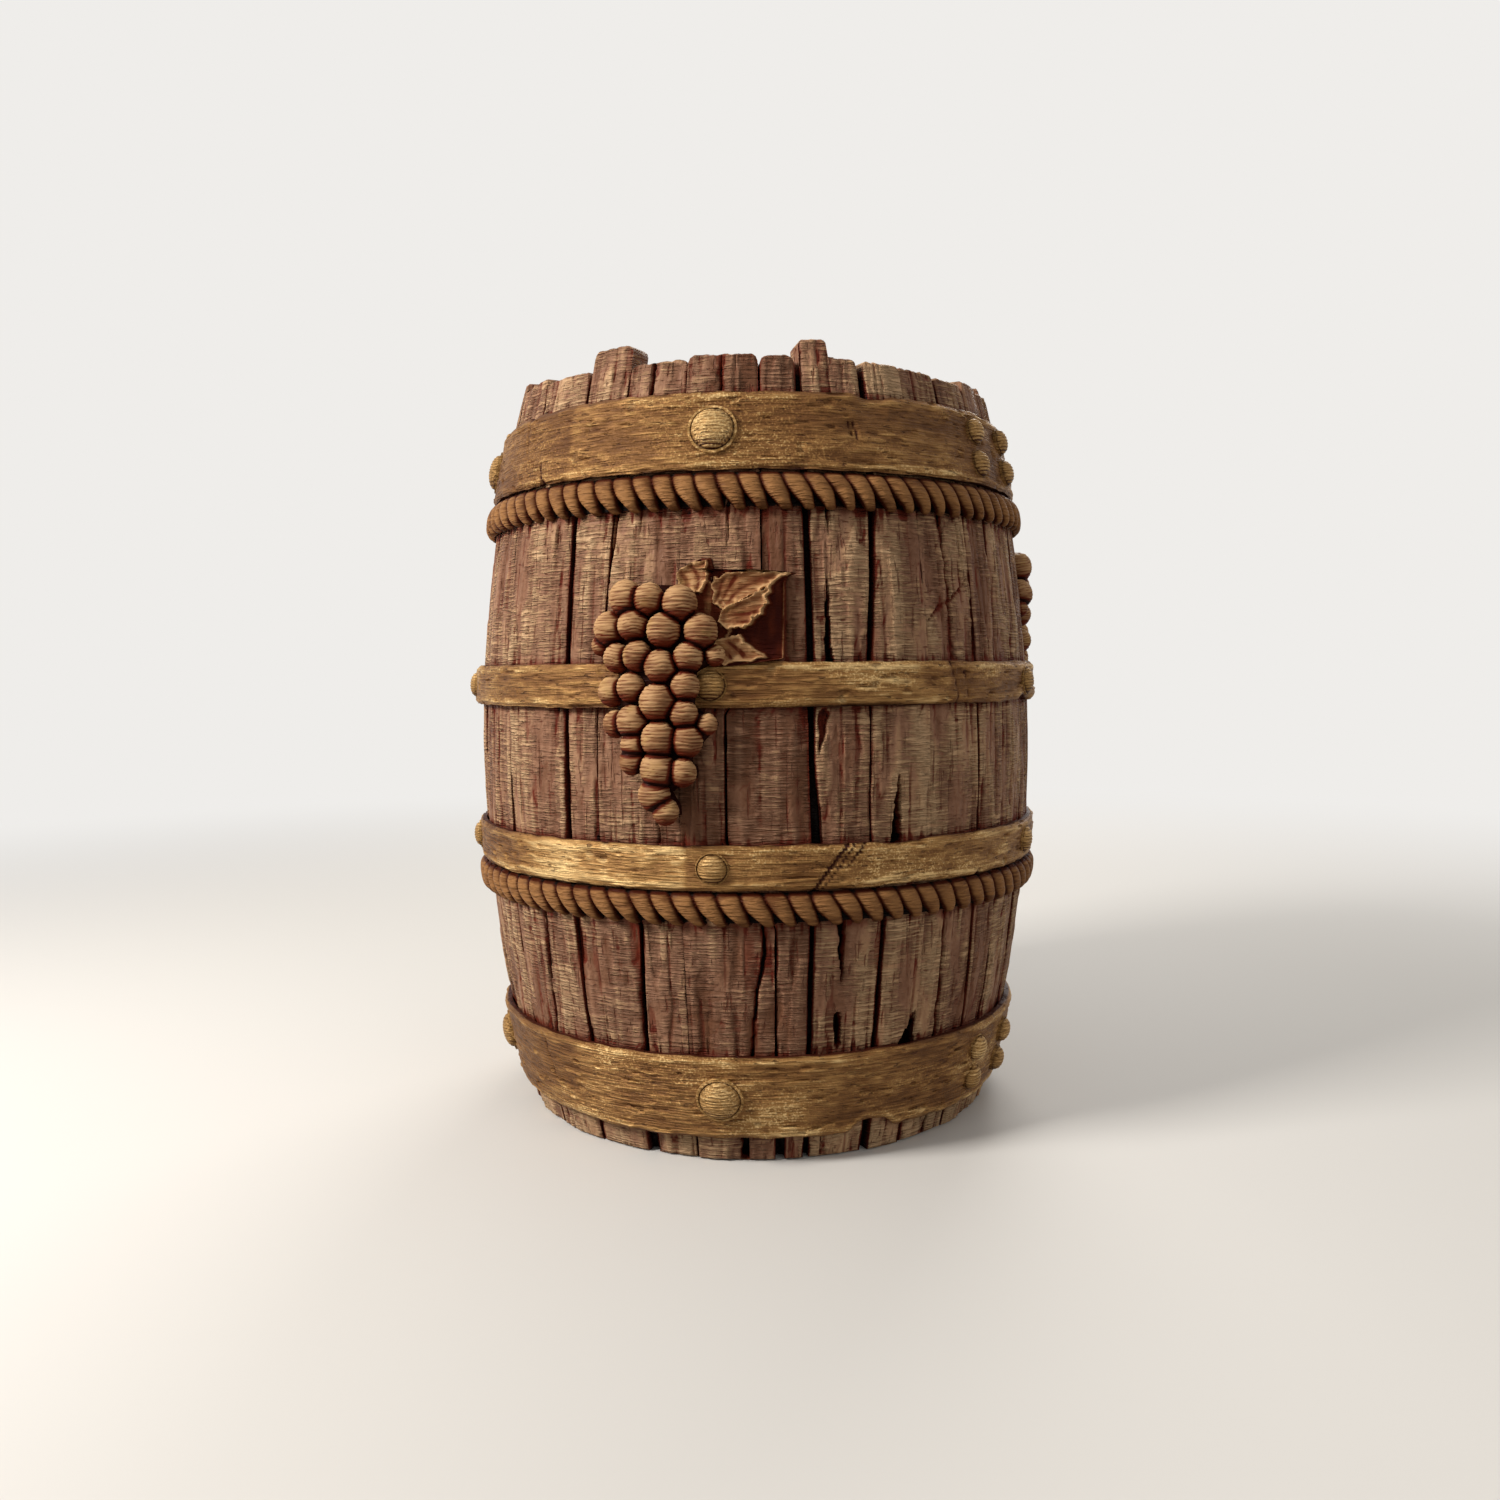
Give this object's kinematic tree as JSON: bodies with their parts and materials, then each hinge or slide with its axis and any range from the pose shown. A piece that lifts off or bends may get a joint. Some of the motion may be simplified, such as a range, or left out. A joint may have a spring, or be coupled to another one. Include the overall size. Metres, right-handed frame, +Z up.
{
  "type": "bag-in-box wine dispenser",
  "caption": "Cask-shaped wine dispenser: bowed staves, hoops, ropes and grape carvings round a bag with a push tap, with a lift-off lid.",
  "frame": {"origin": "on the cask's axis at the floor that it stands on", "axes": "+Z up, the tap faces -Y, +X to the right of the tap seen from behind the cask"},
  "size_m": [0.236, 0.2851, 0.2935],
  "materials": {
    "stave_wood": "weathered, red wash in the grooves",
    "hoop_iron": "hewn, antique gold paint",
    "rivet_iron": "domed, antique gold paint",
    "rope_fibre": "laid rope, tan",
    "grape_carving": "carved, tan stain",
    "leaf_carving": "carved, red-brown stain",
    "head_wood": "planed boards",
    "knob_wood": "turned",
    "bag_film": "metallised film",
    "gland_plastic": "moulded",
    "neck_brass": "turned, aged",
    "tap_plastic": "moulded",
    "lever_plastic": "moulded",
    "seal_rubber": "moulded",
    "spring_steel": "bright"
  },
  "bodies": {
    "root": {"bag_gland": "gland_plastic", "base_head": "head_wood", "grapes_left": "grape_carving", "grapes_rear": "grape_carving", "grapes_right": "grape_carving", "hoop_bottom": "hoop_iron", "hoop_lower": "hoop_iron", "hoop_top": "hoop_iron", "hoop_upper": "hoop_iron", "leaf_left": "leaf_carving", "leaf_rear": "leaf_carving", "leaf_right": "leaf_carving", "lever_pin": "spring_steel", "lid_ledge": "head_wood", "neck_ring": "neck_brass", "rivets_lap": "rivet_iron", "rivets_large": "rivet_iron", "rivets_small": "rivet_iron", "rope_lower": "rope_fibre", "rope_upper": "rope_fibre", "stave_01": "stave_wood", "stave_02": "stave_wood", "stave_03": "stave_wood", "stave_04": "stave_wood", "stave_05": "stave_wood", "stave_06": "stave_wood", "stave_07": "stave_wood", "stave_08": "stave_wood", "stave_09": "stave_wood", "stave_10": "stave_wood", "stave_11": "stave_wood", "stave_12": "stave_wood", "stave_13": "stave_wood", "stave_14": "stave_wood", "stave_15": "stave_wood", "stave_16": "stave_wood", "stave_17": "stave_wood", "stave_18": "stave_wood", "stave_19": "stave_wood", "stave_20": "stave_wood", "stave_21": "stave_wood", "stave_22": "stave_wood", "stave_23": "stave_wood", "stave_24": "stave_wood", "stave_25": "stave_wood", "stave_26": "stave_wood", "stave_27": "stave_wood", "stave_28": "stave_wood", "tap_body": "tap_plastic", "tap_spring": "spring_steel", "wine_bag": "bag_film"},
    "lid": {"lid_board_1": "head_wood", "lid_board_2": "head_wood", "lid_board_3": "head_wood", "lid_battens": "head_wood", "lid_knob": "knob_wood"},
    "lever": {"tap_lever": "lever_plastic"},
    "stem": {"valve_stem": "spring_steel", "valve_seal": "seal_rubber"}
  },
  "joints": [
    {"name": "lid_lift", "type": "slide", "parent": "root", "child": "lid", "axis": [0, 0, 1], "range_m": [0, 0.06]},
    {"name": "lever_press", "type": "hinge", "parent": "root", "child": "lever", "pos_m": [0, -0.13321, 0.081], "axis": [1, 0, 0], "range_deg": [0, 10], "stiffness_Nm_per_rad": 0.6, "springref_deg": -6.88},
    {"name": "stem_slide", "type": "slide", "parent": "root", "child": "stem", "axis": [0, 1, 0], "range_m": [0, 0.00311], "deforming": ["tap_spring"]}
  ],
  "couplings": [
    {"joint": "stem_slide", "follows": "lever_press", "m_per_rad": 0.0178}
  ]
}
